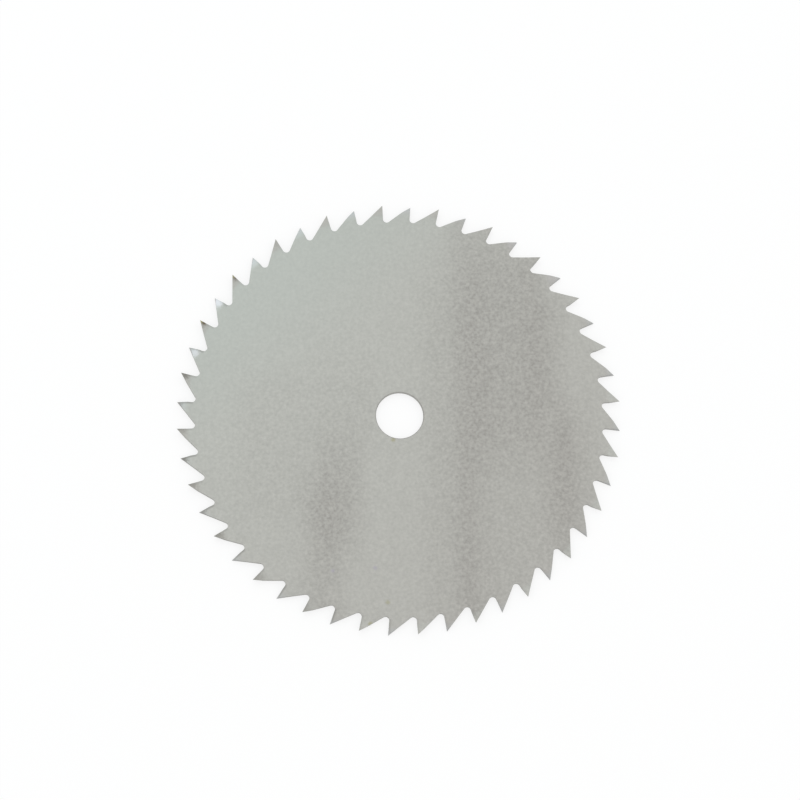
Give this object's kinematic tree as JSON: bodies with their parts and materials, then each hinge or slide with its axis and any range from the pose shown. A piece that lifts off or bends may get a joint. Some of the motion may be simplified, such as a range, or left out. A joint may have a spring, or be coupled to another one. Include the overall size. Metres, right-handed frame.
{
  "type": "circular saw blade",
  "caption": "Round steel saw blade with a plain centre bore and pointed teeth, set left and right by turns and bevel-ground.",
  "frame": {"origin": "centre of the bore, halfway through the plate", "axes": "+Z along the bore, towards the side from which the teeth cut clockwise; +X and +Y lie in the plate, with +X through the middle of a gullet"},
  "size_m": [0.1496, 0.1496, 0.0022],
  "materials": {
    "blade_steel": "satin rolled and ground, bare"
  },
  "bodies": {
    "root": {"saw_blade": "blade_steel"}
  },
  "joints": []
}
